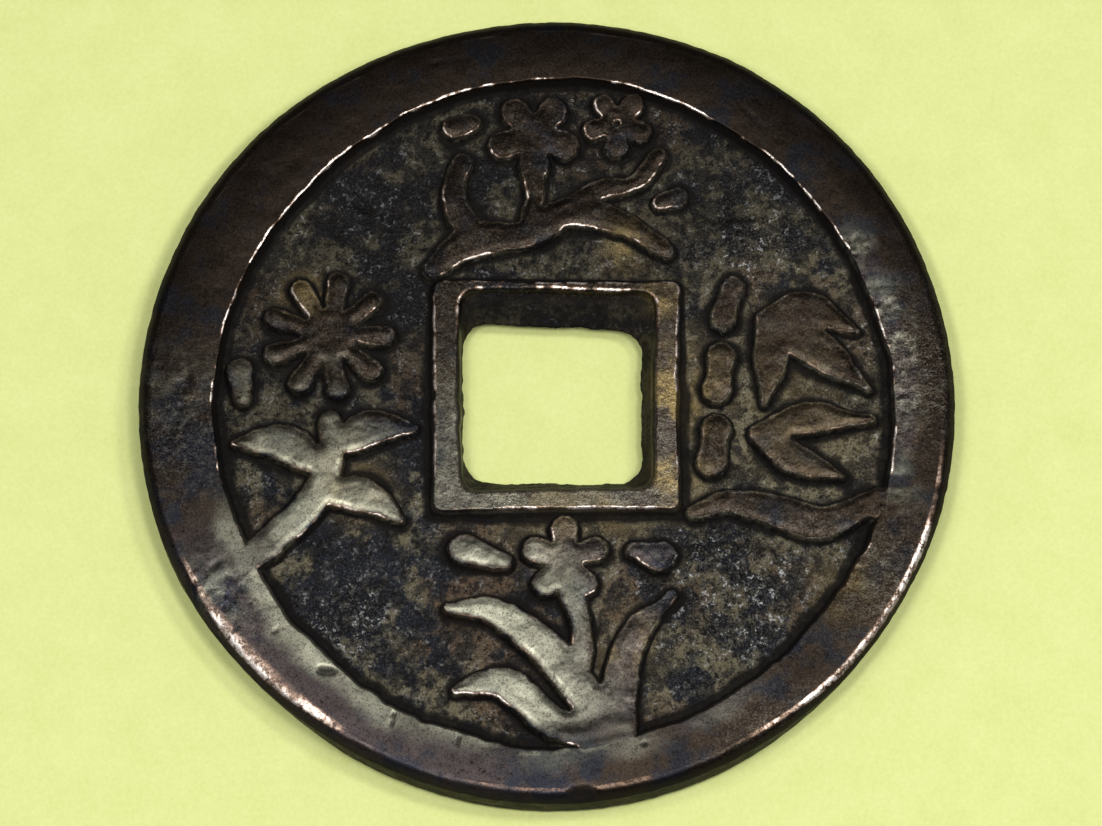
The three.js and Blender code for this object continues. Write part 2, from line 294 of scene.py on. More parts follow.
GOLD = [
    (3.55, 0.2, 1.4, 1.0), (3.3, 3.2, 0.5, 0.9), (2.0, -3.2, 0.8, 0.5), (2.35, 4.95, 0.6, 0.9),
    (-7.2, 3.4, 0.6, 0.8), (-5.6, -2.4, 0.8, 0.6), (2.2, -7.2, 0.9, 0.4), (8.6, -5.6, 0.9, 0.4),
    (0.2, -3.0, 1.6, 0.3), (7.6, 0.0, 2.2, 0.25), (3.6, -2.2, 0.9, 1.0),
]
PAINTED_SHEEN = [  # painted sheen: lighter on the lower left, where the lamps' reflection falls
    (-8.2, -6.0, 1.5, 0.9), (-7.0, -7.5, 1.4, 1.0), (-5.0, -9.2, 1.4, 0.7), (-2.8, -10.1, 1.1, 0.35),
    (0.2, -10.6, 1.1, 0.2), (2.4, -10.4, 0.8, 0.3), (5.2, -9.4, 1.0, 0.2), (-9.3, -4.2, 1.0, 0.7),
    (-10.0, 0.8, 0.8, 0.15),
]
# Painted sheen on the collar's left, lower and right bars
PAINTED_SHEEN_COLLAR = [(-3.0, -1.0, 2.4, 0.4), (-1.0, -3.1, 3.0, 0.75), (3.6, -2.4, 1.8, 0.4)]
PITTED = [
    (9.0, 4.6, 0.6, 1.0), (9.7, 3.1, 0.6, 1.0), (10.2, 1.6, 0.6, 0.9), (10.4, 0.1, 0.6, 0.6),
    (10.2, -2.4, 0.8, 0.4), (9.3, -5.0, 0.7, 0.4), (-10.9, 0.4, 0.9, 0.5), (-9.6, -5.6, 0.9, 0.6),
]

# Wrinkles that the mould left: x, y and radius of an arc in mm, where it starts and how far it runs in
# degrees, and its height in mm
WRINKLES = [
    (5.5, -6.9, 2.5, 50, 95, 0.13), (4.6, -6.6, 1.3, 20, 100, 0.08), (6.6, 3.6, 2.1, 75, 75, 0.10),
    (-5.2, -8.1, 2.2, 60, 70, 0.09), (-6.6, 4.6, 2.0, 20, 70, -0.08), (5.1, 7.0, 1.6, 230, 80, 0.08),
]

# Nicks and scratches: x, y, half length and half width in mm, angle in degrees, depth in mm
NICKS = [
    (-6.43, -8.1, 0.24, 0.09, -5, 0.09), (-4.5, -9.55, 0.22, 0.03, 76, 0.07),
    (2.8, -10.3, 0.05, 0.05, 0, 0.08), (-9.35, -6.2, 0.12, 0.09, 20, 0.05),
    (-9.7, -4.95, 0.10, 0.08, 60, 0.05), (0.97, -11.8, 0.38, 0.18, 4, 0.12),
    (6.1, -10.5, 0.20, 0.10, 30, 0.09), (7.6, -9.5, 0.25, 0.12, 50, 0.09),
    (5.0, -11.2, 0.14, 0.10, 20, 0.08), (-10.9, -0.5, 0.5, 0.08, 70, 0.03),
    (-10.6, 1.2, 0.4, 0.06, 100, 0.03), (10.9, -1.1, 0.4, 0.05, 75, 0.03),
    (-3.0, 10.6, 0.5, 0.03, 12, 0.02), (6.0, 8.9, 0.4, 0.04, -50, 0.02),
    (-8.9, -8.0, 0.30, 0.05, -48, 0.04), (-2.6, -10.2, 0.16, 0.03, 80, 0.05),
    (-7.9, -6.9, 0.10, 0.04, 40, 0.04),
]


def under_sprigs(points):
    """How far in mm each point lies inside the nearest sprig's outline, or less than 0 outside it."""
    margin = 0.5  # beyond it the distance doesn't matter
    depth = np.full(len(points), -1.0)
    for outline in OUTLINES.values():
        ends = outline.reshape(-1, 2)
        close = ((points > ends.min(0) - margin) & (points < ends.max(0) + margin)).all(1)
        if close.any():
            depth[close] = np.maximum(depth[close], signed_distance(points[close], outline))
    return depth


def spots(x, y, places):
    """The strongest of the soft spots at each point."""
    total = np.zeros_like(x)
    for cx, cy, radius, strength in places:
        near = strength * bell(np.hypot(x - cx, y - cy), radius)
        total = np.where(np.abs(near) > np.abs(total), near, total)
    return total


def shaded(x, y):
    """Painted shade that darkens the coin towards the top and the left."""
    return smooth(-2.5, 5.5, y - 0.45 * x + 0.6 * fractal(x, y, 2.5, seed=61))


def nicks(x, y):
    """Depth in mm of the nicks and scratches."""
    total = np.zeros_like(x)
    for cx, cy, length, width, angle, depth in NICKS:
        turn = math.radians(angle)
        along = (x - cx) * math.cos(turn) + (y - cy) * math.sin(turn)
        across = (y - cy) * math.cos(turn) - (x - cx) * math.sin(turn)
        total = np.maximum(total, depth * np.exp(-((along / length) ** 4) - (across / width) ** 2))
    return total


def pits(x, y):
    """Small casting pits, from 0 to 1, where the metal is pitted."""
    return spots(x, y, PITTED) * smooth(0.05, 0.45, fractal(x, y, 0.28, seed=71))


def field_height(x, y):
    """Height of the obverse field: uneven, with mounds, hollows, wrinkles and casting grain."""
    z = FIELD + 0.04 * fractal(x, y, 3.1, seed=2) + 0.038 * fractal(x, y, 0.7, octaves=4, seed=4)
    lumps = 1 + 0.8 * fractal(x, y, 0.8, seed=6)
    for cx, cy, radius, height in MOUNDS:
        z = z + height * bell(np.hypot(x - cx, y - cy), radius) * lumps
    wobble = 0.22 * fractal(x, y, 0.9, seed=9)
    for cx, cy, radius, start, run, height in WRINKLES:
        turn = (np.degrees(np.arctan2(y - cy, x - cx)) - start + 180) % 360 - 180
        ends = smooth(0, WRINKLE_FADE, turn) * smooth(run, run - WRINKLE_FADE, turn)
        z = z + height * ends * bell(np.hypot(x - cx, y - cy) - radius + wobble, WRINKLE_WIDTH)
    return z + 0.09 * spots(x, y, ROUGH) * fractal(x, y, 0.45, seed=8)


def reverse_height(x, y):
    return REVERSE_FIELD + 0.03 * fractal(x, y, 2.7, seed=22) + 0.014 * fractal(x, y, 0.6, seed=24)


def rim_wear(x, y, across):
    """How far the outer rim's top lies above its level in the model, mostly less than 0. across runs
    from 0 at the rim's inner edge to 1 at its outer one."""
    uneven = 0.018 * fractal(x, y, 2.2, seed=31) + 0.007 * fractal(x, y, 0.5, octaves=2, seed=33) - 0.018
    return uneven - CROWN * (1.9 * across - 0.75) ** 2 - nicks(x, y) - PIT_DEPTH * pits(x, y)


# Mesh helpers

def make_mesh(name, points, faces, attributes):
    """An object of four-cornered faces, its points in mm, with attributes from 0 to 1."""
    mesh = bpy.data.meshes.new(name)
    mesh.vertices.add(len(points))
    mesh.vertices.foreach_set("co", (points * MM).astype(np.float32).ravel())
    mesh.loops.add(faces.size)
    mesh.loops.foreach_set("vertex_index", faces.astype(np.int32).ravel())
    mesh.polygons.add(len(faces))
    mesh.polygons.foreach_set("loop_start", np.arange(0, faces.size, 4, dtype=np.int32))
    mesh.polygons.foreach_set("loop_total", np.full(len(faces), 4, np.int32))
    mesh.polygons.foreach_set("use_smooth", np.ones(len(faces), bool))
    mesh.update(calc_edges=True)
    for key, values in attributes.items():
        layer = mesh.attributes.new(key, "FLOAT", "POINT")
        layer.data.foreach_set("value", np.clip(values, 0, 1).astype(np.float32).ravel())
    mesh.validate()
    piece = bpy.data.objects.new(name, mesh)
    bpy.context.scene.collection.objects.link(piece)
    return piece


def surface_marks(x, y, top):
    """The attributes that every piece takes from where it lies on the obverse."""
    return {
        "blue": spots(x, y, BLUE) * top,
        "gold": spots(x, y, GOLD) * top,
        "pale": spots(x, y, PAINTED_SHEEN) * top,
        "rough": spots(x, y, ROUGH) * top,
        "shade": shaded(x, y) * top,
    }


def place(radii):
    """Where the points of rings with these radii lie."""
    return CENTRE[0] + radii * RIGHTWARDS, CENTRE[1] + radii * UPWARDS


def even_rings(start, end, rows):
    """Radii of rings that go evenly from one ring to another."""
    return start + (end - start) * np.linspace(0, 1, rows)[:, None]


def ring_faces(rows):
    """The faces of a closed tube of so many rings, with TURNS points each."""
    row = np.arange(rows)[:, None] * TURNS
    after = (np.arange(rows)[:, None] + 1) % rows * TURNS
    i = np.arange(TURNS)[None, :]
    j = (i + 1) % TURNS
    return np.stack([row + i, row + j, after + j, after + i], -1).reshape(-1, 4)


def ring_piece(name, radii, z, attributes):
    """A closed tube round the hole. Its own attributes go before those of the surface."""
    x, y = place(radii)
    points = np.stack([x, y, z], -1).reshape(-1, 3)
    attributes = {**surface_marks(x, y, smooth(THROAT_LEVEL, FIELD, z)), **attributes}
    return make_mesh(name, points, ring_faces(len(radii)), attributes)


class Section:
    """The section of a ring, as rows of radius and height, each with one value for every turn."""

    def __init__(self):
        self.radii, self.heights = [], []

    def keep(self, radius, height):
        self.radii.append(radius * np.ones(TURNS))
        self.heights.append(height * np.ones(TURNS))

    def line(self, radius, height, rows):
        """Rows between two ends, without the last one. radius and height are pairs, one for each end."""
        share = np.linspace(0, 1, rows, endpoint=False)[:, None]
        self.keep(radius[0] + (radius[1] - radius[0]) * share, height[0] + (height[1] - height[0]) * share)

    def wall(self, edge, outwards, seat, rise, rows, down=False):
        """A drafted wall up from its foot below the field, or down to it, rounded at its top edge."""
        foot = np.linspace(-FOOT_REACH, 0, FOOT_ROWS, endpoint=False)
        reach = np.concatenate([foot, np.linspace(0, WALL_RUN, rows)])
        reach = (reach[::-1] if down else reach)[:, None]
        up = abs(rise) * smooth(-0.02, WALL_CREST, reach)
        climb = np.where(reach < 0, FOOT_DEPTH * reach / FOOT_REACH, up)
        self.keep(edge + outwards * reach, seat + math.copysign(1, rise) * climb)

    def corner(self, start, end, radius_first, rows):
        """A quarter turn between two points. radius_first leaves the start along the radius."""
        turn = np.linspace(0, np.pi / 2, rows, endpoint=False)[:, None]
        early, late = np.sin(turn), 1 - np.cos(turn)
        first, second = (early, late) if radius_first else (late, early)
        self.keep(start[0] + (end[0] - start[0]) * first, start[1] + (end[1] - start[1]) * second)

    def rings(self):
        return np.vstack(self.radii), np.vstack(self.heights)


# Outer rims

def outer_section(rounding, bevel_width, taper):
    """Both outer rims and the edge, from the obverse field outwards and round to the reverse field."""
    bevel_start, bevel_end = R_OUT - rounding - bevel_width, R_OUT - rounding
    lower_corner = R_OUT - EDGE_ROUNDING
    section = Section()
    section.wall(R_FIELD, 1, FIELD, RIM_RISE, rows=13)
    section.line((R_FIELD + FLAT_START, bevel_start), (FACE, FACE), rows=17)
    section.line((bevel_start, bevel_end), (FACE, FACE), rows=8)
    section.corner((bevel_end, FACE), (R_OUT, EDGE_LEVEL), True, rows=12)
    section.line((R_OUT, R_OUT - taper), (EDGE_LEVEL, REVERSE_FIELD), rows=6)
    section.corner((R_OUT - taper, REVERSE_FIELD), (lower_corner, 0), False, rows=7)
    section.line((lower_corner, R_REVERSE + FLAT_START), (0, 0), rows=8)
    section.wall(R_REVERSE, 1, REVERSE_FIELD, -REVERSE_FIELD, rows=7, down=True)
    return section.rings()


def inner_shine(x, y, radii):
    """The rubbed line along the inner edge of the obverse rim, with a painted highlight strongest in the
    rim's upper half.
    """
    middle = RIM_WALL * (1.25 + 0.3 * fractal(x, y, 0.4, seed=36))
    line = bell(radii - R_FIELD - middle, 0.03)
    worn = smooth(-0.25, 0.4, fractal(x, y, 1.3, seed=39) + 0.9 * fractal(x, y, 0.22, octaves=2, seed=40))
    return 0.75 * line * worn * smooth(-0.9, 0.1, UPWARDS)


def outer_shine(x, y, bevel, right, left):
    """How bright the worn bevel of the outer edge is: a nearly white painted highlight on two arcs, where
    the lamps' highlights fall, and coppery wear elsewhere, more of it at the bottom.
    """
    white = np.maximum(right, left)
    fine = fractal(x, y, 0.22, octaves=2, seed=40)
    worn = smooth(-0.6, 0.0, fractal(x, y, 1.7, seed=42) + 0.25 * fine + 0.9 * white - 0.4)
    patches = smooth(-0.3, 0.4, fractal(x, y, 1.2, octaves=4, seed=48))
    coppery = (0.04 + 0.1 * smooth(0.2, -0.4, UPWARDS)) * patches
    streaks = fractal(60 * RIGHTWARDS, 60 * UPWARDS, 4.0, seed=43) + 0.6 * fractal(x, y, 0.35, seed=44)
    shine = worn * (coppery + 0.85 * white) * (1 - 0.45 * smooth(0.1, -0.3, streaks))
    return shine * (1 - 0.4 * right - (0.75 - 0.33 * smooth(0.6, 1.0, bevel)) * left)


def covered_by_sprigs(x, y):
    """Where the outer rim's rows near the field run below a stroke, from 0 to 1."""
    covered = np.zeros_like(x)
    points = np.stack([x[:JOIN_ROWS], y[:JOIN_ROWS]], -1).reshape(-1, 2)
    covered[:JOIN_ROWS] = smooth(-0.05, 0.08, under_sprigs(points)).reshape(JOIN_ROWS, TURNS)
    return covered


def outer_paleness(x, y, radii):
    """Where the obverse rim is painted lighter: a painted sheen in a band by the field, mostly on the lower
    left, and in a line along it, and pale patina where it is pitted."""
    band = smooth(1.0, 0.4, radii - R_FIELD + 0.25 * fractal(x, y, 0.8, seed=41))
    line = bell(radii - R_FIELD - 0.27, 0.11) * arc(TURN, *SHEEN_ARC)
    line = 0.75 * line * smooth(-0.5, 0.3, fractal(x, y, 0.4, seed=47))
    pitted = 0.8 * spots(x, y, PITTED) * smooth(-0.3, 0.3, fractal(x, y, 0.4, seed=43))
    return np.maximum(np.maximum(spots(x, y, PAINTED_SHEEN) * band, line), pitted)


def outer_rim():
    """Both outer rims and the coin's edge, in one ring round the field."""
    right, left = arc(TURN, *RIGHT_BEVEL), arc(TURN, *LEFT_BEVEL)
    rounding = EDGE_ROUNDING - 0.21 * right - 0.13 * left
    bevel_width = 0.13 * right + 0.4 * left + 0.05
    radii, z = outer_section(rounding, bevel_width, EDGE_TAPER + 0.1 * np.maximum(right, left))
    x, y = place(radii)
    top = smooth(FIELD, FIELD + 0.2, z)
    under = smooth(0.12, 0.04, z)
    across = np.clip((radii - R_FIELD) / (R_OUT - R_FIELD), 0, 1)
    inwards = R_OUT - rounding - radii
    bevel = np.clip((bevel_width - inwards) / bevel_width, 0, 1.3)
    rolled = smooth(0.0, 0.6, bevel) * smooth(-0.12, -0.02, inwards) * top

    # The worn top, the bevel, the rolled edge and the uneven reverse, and then the roughly filed side
    z = z + top * rim_wear(x, y, across)
    z = z - top * bevel_width * (0.15 * right + 0.11 * left) * bevel ** 2
    z = z + 0.009 * rolled * fractal(x, y, 0.6, octaves=4, seed=38)
    z = z + 0.012 * (1 + fractal(x, y, 2.0, seed=35)) * smooth(0.15, 0.0, z)
    side = smooth(0.3, 0.0, R_OUT - radii) * smooth(0.0, 0.2, z) * smooth(FACE, FACE - 0.25, z)
    filing = fractal(24 * RIGHTWARDS, 24 * UPWARDS, 0.5, seed=37, z=z * 0.4)
    radii = radii + side * 0.016 * (filing - 1)

    # Rubbed edges and painted highlights, dirt and painted shade, painted sheen, and painted shade
    covered = covered_by_sprigs(x, y)
    edge = np.maximum(inner_shine(x, y, radii) * top, outer_shine(x, y, bevel, right, left) * rolled)
    # Dirt and painted shade at the foot of the rim's wall; the side is darker all round
    foot = smooth(0.24, 0.08, radii - R_FIELD) * smooth(FIELD + 0.36, FIELD + 0.2, z) * (1 - covered)
    foot = foot * smooth(REVERSE_FIELD, FIELD - 0.1, z)
    darkened = side * (0.8 + 0.2 * fractal(x, y, 0.8, seed=34, z=z))
    nicked = 0.9 * top * smooth(0.02, 0.06, nicks(x, y))
    # Painted shade: the rim's outer part is darker on the right, and darker still on the right bevel's arc
    # and at the bottom
    painted_shade_arcs = smooth(0.2, 0.7, across) * smooth(-0.2, 0.6, RIGHTWARDS)
    painted_shade_arcs = painted_shade_arcs + 0.6 * right + 0.3 * arc(TURN, *SHADE_ARC)
    return ring_piece("outer_rim", radii, z, {
        "wear": np.maximum(top, 0.85 * under),
        "edge": edge * (1 - covered * smooth(0.5, 0.3, radii - R_FIELD)),
        "dirt": np.maximum(np.maximum(foot, darkened), nicked),
        "pale": outer_paleness(x, y, radii) * top,
        "shade": np.maximum(shaded(x, y), np.minimum(painted_shade_arcs, 1)) * top,
    })


# Inner rims

def inner_section():
    """Both inner rims and the walls of the hole, from the obverse field inwards and round."""
    crest = R_COLLAR - WALL_RUN - 0.01
    lip_start = np.minimum(R_LIP + LIP_ROUNDING, crest)
    lip_end = FACE - LIP_ROUNDING
    section = Section()
    section.wall(R_COLLAR, -1, FIELD, RIM_RISE, rows=11)
    section.line((crest, lip_start), (FACE, FACE), rows=9)
    section.corner((lip_start, FACE), (R_LIP, lip_end), True, rows=8)
    section.line((R_LIP, R_THROAT), (lip_end, THROAT_LEVEL), rows=14)
    section.line((R_THROAT, R_REVERSE_LIP), (THROAT_LEVEL, REVERSE_LIP_LEVEL), rows=9)
    section.line((R_REVERSE_LIP + REVERSE_LIP_LEVEL, R_REVERSE_COLLAR - FLAT_START), (0, 0), rows=6)
    section.wall(R_REVERSE_COLLAR, -1, REVERSE_FIELD, -REVERSE_FIELD, rows=7, down=True)
    return section.rings()


def inner_rim():
    """Both inner rims and the walls of the hole, in one ring."""
    radii, z = inner_section()
    x, y = place(radii)
    top = smooth(FIELD, FIELD + 0.2, z)
    z = z + top * (0.02 * fractal(x, y, 1.4, seed=45) + 0.006 * fractal(x, y, 0.35, seed=46) - 0.024)
    bore = smooth(R_LIP - 0.02, R_LIP - 0.12, radii) * smooth(0.0, 0.15, z)
    coarse, fine = fractal(x, y, 0.9, seed=47, z=z), fractal(x, y, 0.3, octaves=2, seed=48, z=z)
    radii = radii + bore * (0.06 * coarse + 0.02 * fine)

    # Rubbed lines and painted highlights, dirt and painted shade, and painted sheen
    patchy = fractal(x, y, 0.9, octaves=4, seed=49) + 0.5 * fractal(x, y, 0.25, octaves=2, seed=49)
    # Painted highlight along the lip, strongest at the top of the hole
    near_lip = bell(radii - R_LIP - 0.1, 0.06) * (0.1 + 0.4 * smooth(0.5, 0.8, UPWARDS))
    rubbed_and_highlit = np.maximum(0.6 * bell(R_COLLAR - radii - RIM_WALL * 1.1, 0.045), near_lip)
    # Dirt and painted shade at the foot of the collar's wall; the bore is darker
    foot = smooth(0.2, 0.06, R_COLLAR - radii) * smooth(FIELD + 0.34, FIELD + 0.16, z)
    foot = foot * smooth(REVERSE_FIELD, FIELD - 0.1, z)
    darkened = bore * (0.78 + 0.3 * fractal(x, y, 0.7, seed=42, z=z))
    # Painted shade on the lip in the hole's lower half
    lip = bell(radii - R_LIP, 0.06) * smooth(FACE - 0.02, FACE - 0.08, z) * top * smooth(0.7, 0.3, UPWARDS)
    under = smooth(0.12, 0.04, z) * smooth(R_LIP - 0.2, R_LIP + 0.2, radii)
    pale_patches = 0.45 + 0.55 * smooth(-0.3, 0.3, fractal(x, y, 1.1, octaves=4, seed=44))
    return ring_piece("inner_rim", radii, z, {
        "wear": np.maximum(top, 0.85 * under),
        "edge": rubbed_and_highlit * top * smooth(-0.3, 0.4, patchy),
        "dirt": np.maximum(np.maximum(foot, darkened), lip),
        "pale": top * spots(x, y, PAINTED_SHEEN_COLLAR) * pale_patches,
        "rough": 0.5 * top,
    })


# Field

def rim_gutter_dirt_and_shade(x, y, to_rims):
    """Dirt and painted shade in the gutters along the rims, which are narrower in the coin's upper half."""
    width = 0.33 + 0.17 * fractal(x, y, 0.8, octaves=4, seed=59)
    width = width * (0.4 + 0.6 * smooth(0.6, -0.2, UPWARDS))
    return smooth(width, 0.55 * width, to_rims)


def sprig_gutter_dirt_and_shade(x, y, to_sprigs):
    """Dirt and painted shade in the gutters along the sprigs."""
    width = np.maximum(0.21 + 0.26 * fractal(x, y, 1.0, octaves=4, seed=60), 0.07)
    return smooth(width, 0.4 * width, to_sprigs)


def field():
    """The web between the rims: its two faces, closed below the rims."""
    obverse = even_rings(R_COLLAR - 0.2, R_FIELD + 0.25, FIELD_ROWS)
    reverse = even_rings(R_REVERSE + 0.2, R_REVERSE_COLLAR - 0.2, REVERSE_ROWS)
    radii = np.vstack([obverse, reverse])
    x, y = place(radii)
    upper_x, upper_y = x[:FIELD_ROWS], y[:FIELD_ROWS]
    face = np.zeros_like(x)
    face[:FIELD_ROWS] = 1
    to_rims = np.minimum(np.abs(radii - R_COLLAR), np.abs(radii - R_FIELD))
    depth = under_sprigs(np.stack([upper_x, upper_y], -1).reshape(-1, 2))
    to_sprigs = np.maximum(-depth, 0).reshape(FIELD_ROWS, TURNS)
    dirt = rim_gutter_dirt_and_shade(x, y, to_rims) * np.where(face, 1.0, 0.7)
    dirt[:FIELD_ROWS] = np.maximum(dirt[:FIELD_ROWS], sprig_gutter_dirt_and_shade(upper_x, upper_y, to_sprigs))

    nearest = np.minimum(to_rims[:FIELD_ROWS], to_sprigs)
    upper_z = field_height(upper_x, upper_y) - 0.02 * bell(nearest, 0.1)
    z = np.vstack([upper_z, reverse_height(x[FIELD_ROWS:], y[FIELD_ROWS:])])
    points = np.stack([x, y, z], -1).reshape(-1, 3)
    clean = np.zeros_like(x)
    marks = {**surface_marks(x, y, face), "wear": clean, "edge": clean, "pale": clean, "dirt": dirt}
    return make_mesh("field", points, ring_faces(FIELD_ROWS + REVERSE_ROWS)[:, ::-1], marks)


# Sprigs

def island_grid(outline):
    """A grid over an outline and its foot: the points of its cells, how far each lies inside the outline,
    which way is inwards, and the cells' corners as numbers of points."""
    ends = outline.reshape(-1, 2)
    low, high = ends.min(0) - FOOT_REACH - 0.05, ends.max(0) + FOOT_REACH + 0.05
    xs, ys = (np.arange(a, b, SPRIG_CELL) for a, b in zip(low, high))
    x, y = np.meshgrid(xs, ys, indexing="ij")
    depth = signed_distance(np.stack([x.ravel(), y.ravel()], -1), outline).reshape(x.shape)
    ragged = 0.055 * fractal(x, y, 0.62, seed=51)
    depth = depth + ragged + 0.03 * fractal(x, y, 0.27, octaves=2, seed=52) + 0.01
    keep = depth > -FOOT_REACH
    cell = keep[:-1, :-1] & keep[1:, :-1] & keep[:-1, 1:] & keep[1:, 1:]
    used = np.zeros(x.shape, bool)
    for dx in (0, 1):
        for dy in (0, 1):
            used[dx:len(xs) - 1 + dx, dy:len(ys) - 1 + dy] |= cell
    number = np.full(x.shape, -1)
    number[used] = np.arange(used.sum())
    inwards = np.stack(np.gradient(depth, SPRIG_CELL), -1)
    i, j = np.where(cell)
    corners = np.stack([number[i, j], number[i + 1, j], number[i + 1, j + 1], number[i, j + 1]], -1)
    return x[used], y[used], depth[used], inwards[used], corners


def closed_faces(tops, count):
    """The faces of a slab: its top, a like bottom whose points come count later, and the sides."""
    edges = np.concatenate([tops[:, [k, (k + 1) % 4]] for k in range(4)])
    lone = ~np.isin(edges[:, 0] * count + edges[:, 1], edges[:, 1] * count + edges[:, 0])
    a, b = edges[lone].T
    sides = np.stack([b, a, a + count, b + count], -1)
    return np.concatenate([tops, tops[:, ::-1] + count, sides])


def sprig_height(x, y, depth, to_rim, across):
    """Height of a sprig. Where it meets the outer rim it runs level with the rim's top, and then sinks
    slowly below it, so that no line shows between the two."""
    rise = SPRIG_RISE * smooth(-0.03, SPRIG_WALL, depth) * (0.93 + 0.07 * smooth(0.08, 0.35, depth))
    rise = rise * (0.96 + 0.10 * fractal(x, y, 1.3, seed=50))
    rise = rise * (1 + (RIM_RISE / SPRIG_RISE - 1) * smooth(0.7, 0.0, to_rim))
    settled = 0.6 * smooth(0, 0.3, depth)
    base = field_height(x, y) * (1 - settled) + FIELD * settled
    z = base + np.where(depth < -0.02, FOOT_DEPTH * (depth + 0.02) / FOOT_REACH, rise)
    z = z + 0.009 * fractal(x, y, 0.5, octaves=4, seed=53) - 0.5 * nicks(x, y)
    rim_face = FACE + rim_wear(x, y, across) + 0.005 - 0.03 * smooth(-0.12, -0.65, to_rim)
    z = z + (rim_face - z) * smooth(0.45, 0.05, to_rim) * smooth(0.02, 0.2, depth)
    return np.minimum(z, np.where(to_rim < 0, rim_face, FACE - 0.012))


def sprig_marks(x, y, depth, facing, turn, to_rim):
    """The attributes of a sprig, which take on those of the outer rim where the two meet."""
    top = smooth(0.0, 0.12, depth)
    joined = smooth(1.1, 0.1, to_rim)
    # Painted sheen: the tops are lighter towards the lower left, where the lamps' reflection falls
    lit = smooth(2.8, 6.2, -0.6 * x - 0.85 * y + 1.5 * fractal(x, y, 1.5, seed=63)) * smooth(3.0, -0.5, x)
    paleness = lit * (1 - joined) + spots(x, y, PAINTED_SHEEN) * joined
    rubbed_and_highlit = smooth(-0.1, 0.5, fractal(x, y, 1.1, seed=55) + 0.4 * fractal(x, y, 0.22, octaves=2, seed=40))
    # Painted highlight along the top edges, weaker on the right
    edge = bell(depth - SPRIG_WALL * 1.05, 0.03) * rubbed_and_highlit * (0.05 + 0.5 * smooth(-0.3, 0.6, facing))
    marks = surface_marks(x, y, top)
    rough = np.maximum(marks["rough"], 0.35 * (1 - joined))
    # Painted shade: sprigs on the right are darker, and where they join the rim they take its painted shade
    # at the bottom
    shade = np.maximum(0.6 * smooth(2.5, 5.0, x) * top, 0.3 * arc(turn, *SHADE_ARC) * joined)
    marks.update({
        "wear": smooth(0.05, 0.17, depth),
        "edge": edge * (1 - 0.6 * smooth(2.5, 4.5, x)),
        # dirt and painted shade at the sprig's foot
        "dirt": smooth(0.09, 0.0, depth) * smooth(-0.05, 0.1, to_rim),
        "pale": paleness * smooth(0.09, 0.24, depth) * (0.8 + 0.4 * fractal(x, y, 0.8, octaves=4, seed=57)),
        "rough": rough * (1 - 0.8 * paleness * (1 - joined)),
        "shade": np.maximum(marks["shade"], shade),
    })
    return marks


def sprig(node):
    """A relief island: a worn flat top whose walls run down to a foot below the field."""
    x, y, depth, inwards, corners = island_grid(OUTLINES[node])
    turn = np.arctan2(y - CENTRE[1], x - CENTRE[0])
    rim_start, rim_end = (np.interp(turn, TURN, ring, period=2 * np.pi) for ring in (R_FIELD, R_OUT))
    to_rim = rim_start - np.hypot(x - CENTRE[0], y - CENTRE[1])
    across = np.clip(-to_rim / (rim_end - rim_start), 0, 1)
    z = sprig_height(x, y, depth, to_rim, across)
    facing = inwards @ np.array([0.35, 0.94])  # a painted highlight, most where the wall faces the front
    count = len(x)
    base = np.stack([x, y, np.full(count, SPRIG_BASE)], -1)
    points = np.concatenate([np.stack([x, y, z], -1), base])
    marks = sprig_marks(x, y, depth, facing, turn, to_rim)
    marks = {key: np.concatenate([value, np.zeros(count)]) for key, value in marks.items()}
    return make_mesh(node + "_worn", points, closed_faces(corners, count), marks)


# Materials

# Colours of the patina, of the metal that shows through it and of the paper
OLIVE = (0.140, 0.122, 0.076)
BLUE_BLACK = (0.011, 0.013, 0.019)
EARTH = (0.092, 0.062, 0.038)
SOOT = (0.006, 0.007, 0.009)
SPECK = (0.30, 0.275, 0.22)
RIM_BROWN = (0.036, 0.025, 0.017)
RIM_PURPLE = (0.040, 0.032, 0.031)
RIM_BLUE = (0.016, 0.019, 0.027)
# Pale patina of the pits, also used for painted sheen
PALE_METAL_AND_SHEEN = (0.27, 0.265, 0.195)
# Bright worn metal, also used for painted highlights
BRIGHT_METAL_AND_HIGHLIGHT = (0.80, 0.74, 0.68)
COPPER = (0.24, 0.15, 0.10)
GOLD_METAL = (0.28, 0.205, 0.085)
# Painted glints
GLINT_SILVER = (0.52, 0.53, 0.53)
# The near-black of dirt, also used for painted shade
DIRT_AND_SHADE = (0.005, 0.004, 0.0035)
PAPER_DARK = (0.60, 0.655, 0.19)
PAPER_LIGHT = (0.89, 0.935, 0.42)

# The attributes of the coin's meshes: wear is 1 on smooth worn tops and 0 on the rough field, edge is
# where an edge is rubbed bright and where a painted highlight lies, the dirt mark is where dirt gathers
# and painted shade falls, blue, gold and rough tell how the patina differs from place to place, pale
# holds painted sheen and the pale patina of pits, and shade holds painted shade.
MARKS = ("wear", "edge", "dirt", "blue", "gold", "pale", "rough", "shade")

# Sockets of a Mix node for each kind of value: its two ends and its result
MIX_SOCKETS = {"RGBA": (6, 7, 2), "FLOAT": (2, 3, 0)}


